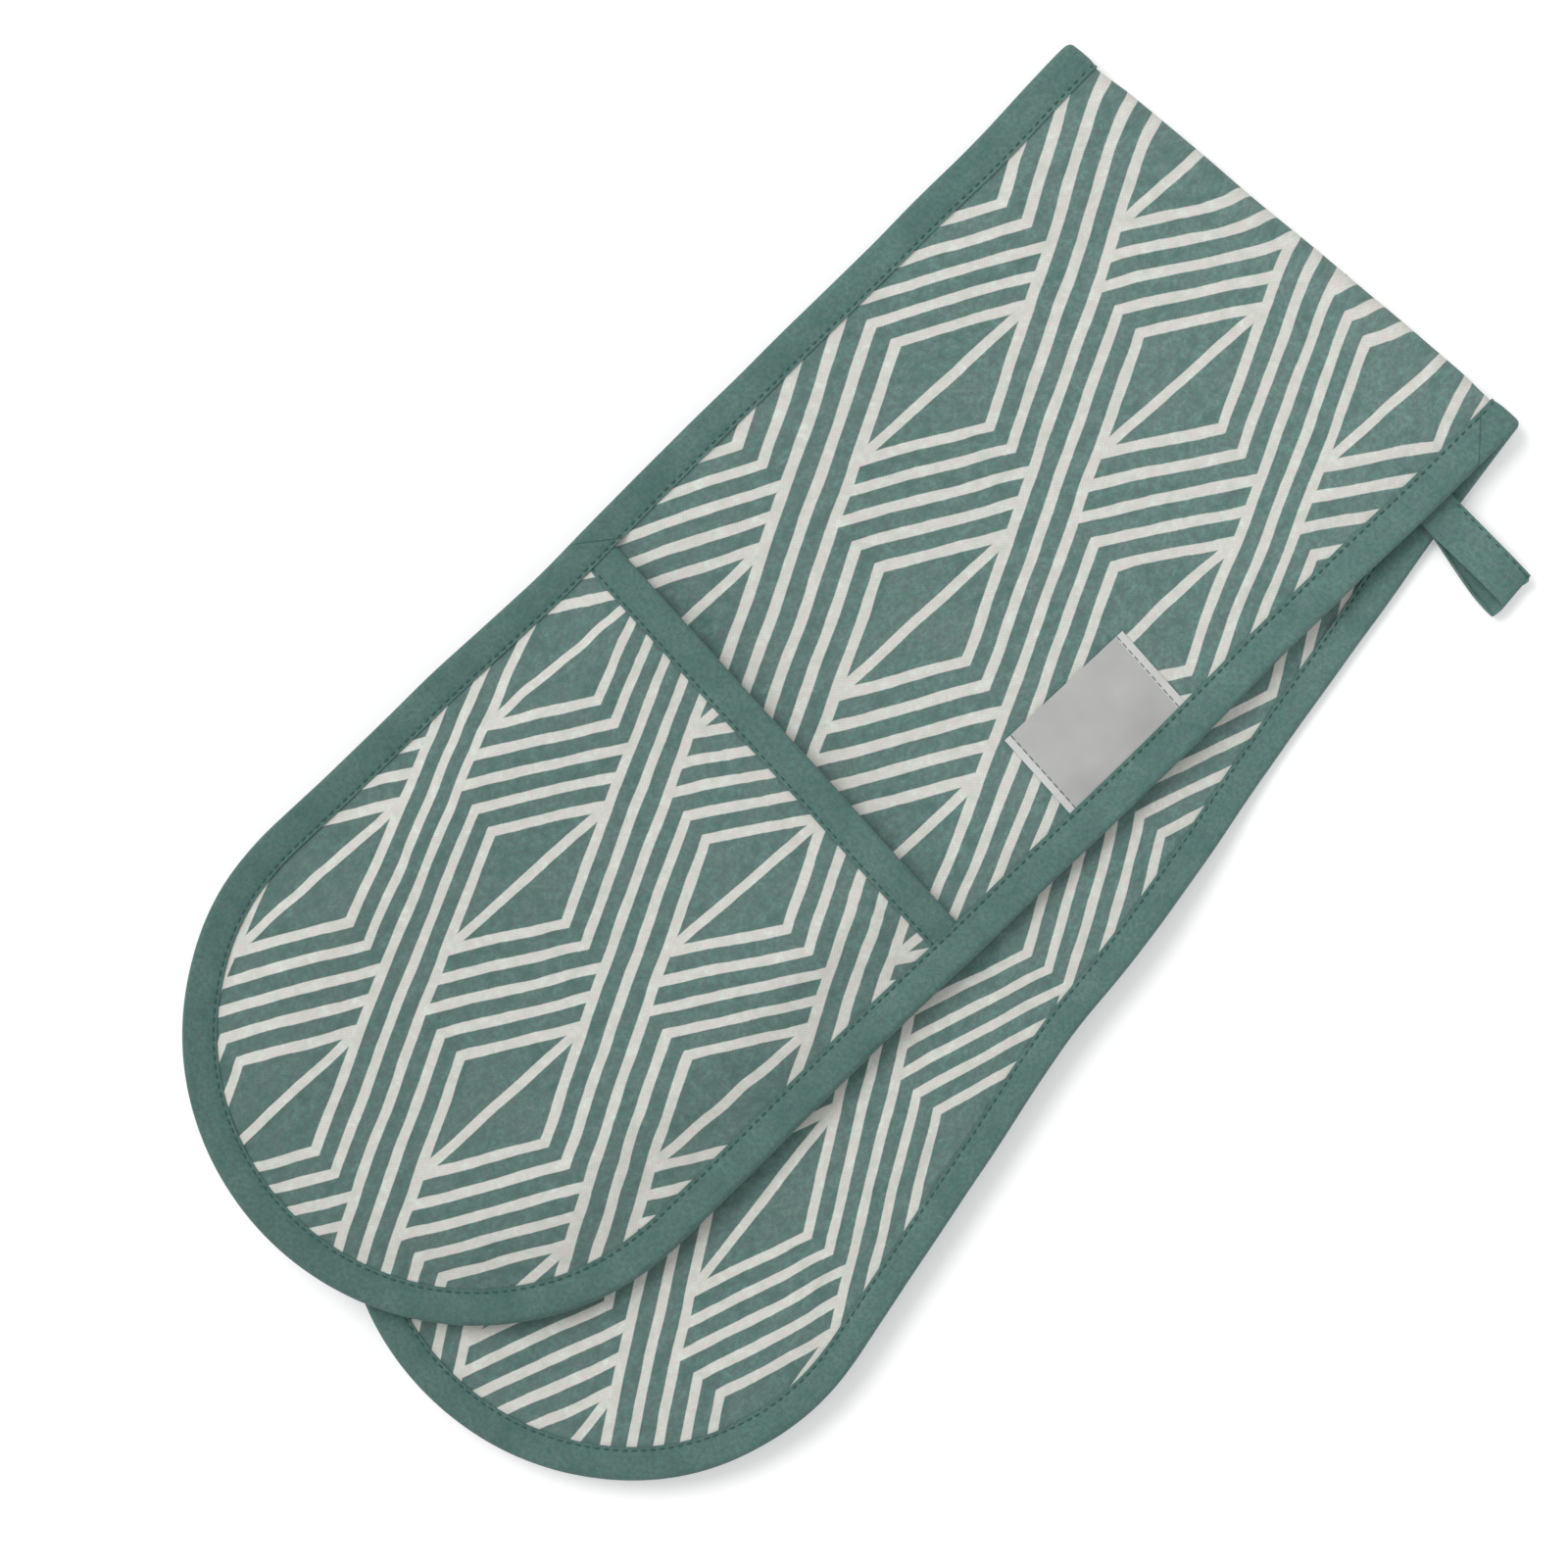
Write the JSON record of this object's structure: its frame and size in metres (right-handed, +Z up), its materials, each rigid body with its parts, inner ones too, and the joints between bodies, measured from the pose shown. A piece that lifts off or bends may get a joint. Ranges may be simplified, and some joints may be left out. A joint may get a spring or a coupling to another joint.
{
  "type": "double oven glove",
  "caption": "Quilted strip with a padded hand pocket at each rounded end, bound edges and a hanging loop, folded in half for storage.",
  "frame": {"origin": "centre of the folded glove's box, on the surface that it lies on", "axes": "+Z up; X along the front half, with the fold towards +X and the rounded ends towards -X; the hanging loop is on the -Y side"},
  "size_m": [0.4572, 0.2522, 0.033],
  "materials": {
    "printed_cotton": "matt printed cotton twill, off-white line pattern on dusty teal",
    "bias_binding": "matt woven cotton tape, dusty teal",
    "wadding": "soft felted wadding, undyed",
    "label_satin": "grey satin ribbon, bare"
  },
  "bodies": {
    "back_pocket": {"back_pocket_cover": "printed_cotton", "back_pocket_wadding": "wadding", "back_pocket_lining": "printed_cotton", "back_mouth_binding": "bias_binding"},
    "back_half": {"back_outer_cover": "printed_cotton", "back_wadding": "wadding", "back_inner_cover": "printed_cotton", "back_binding": "bias_binding", "back_pocket_seam": "printed_cotton"},
    "fold": {"fold_outer_cover": "printed_cotton", "fold_wadding": "wadding", "fold_inner_cover": "printed_cotton", "fold_binding_left": "bias_binding", "fold_binding_right": "bias_binding"},
    "front_half": {"front_outer_cover": "printed_cotton", "front_wadding": "wadding", "front_inner_cover": "printed_cotton", "front_binding": "bias_binding", "front_pocket_seam": "printed_cotton", "label": "label_satin"},
    "front_pocket": {"front_pocket_cover": "printed_cotton", "front_pocket_wadding": "wadding", "front_pocket_lining": "printed_cotton", "front_mouth_binding": "bias_binding"},
    "hanging_loop": {"hanging_loop": "bias_binding"}
  },
  "joints": [
    {"name": "back_pocket_opening", "type": "hinge", "parent": "back_pocket", "child": "back_half", "pos_m": [-0.21568, -0.05008, 0.0077], "axis": [0.1908, -0.9816, 0], "range_deg": [0, 12]},
    {"name": "fold_opening", "type": "hinge", "parent": "back_half", "child": "fold", "pos_m": [0.21655, 0.03424, 0.00336], "axis": [-0.0958, 0.9954, 0], "range_deg": [0, 88], "deforming": ["fold_outer_cover", "fold_wadding", "fold_inner_cover", "fold_binding_left", "fold_binding_right"]},
    {"name": "fold_straightening", "type": "hinge", "parent": "fold", "child": "front_half", "pos_m": [0.21655, 0.03424, 0.00964], "axis": [-0.0958, 0.9954, 0], "range_deg": [0, 88]},
    {"name": "front_pocket_opening", "type": "hinge", "parent": "front_half", "child": "front_pocket", "pos_m": [-0.21783, 0.03455, 0.0253], "axis": [0, -1, 0], "range_deg": [0, 12]},
    {"name": "loop_swing", "type": "hinge", "parent": "front_half", "child": "hanging_loop", "pos_m": [0.19087, -0.0584, 0.0067], "axis": [-1, 0, 0], "range_deg": [0, 90]}
  ],
  "couplings": [
    {"joint": "fold_straightening", "follows": "fold_opening", "ratio": 1}
  ]
}
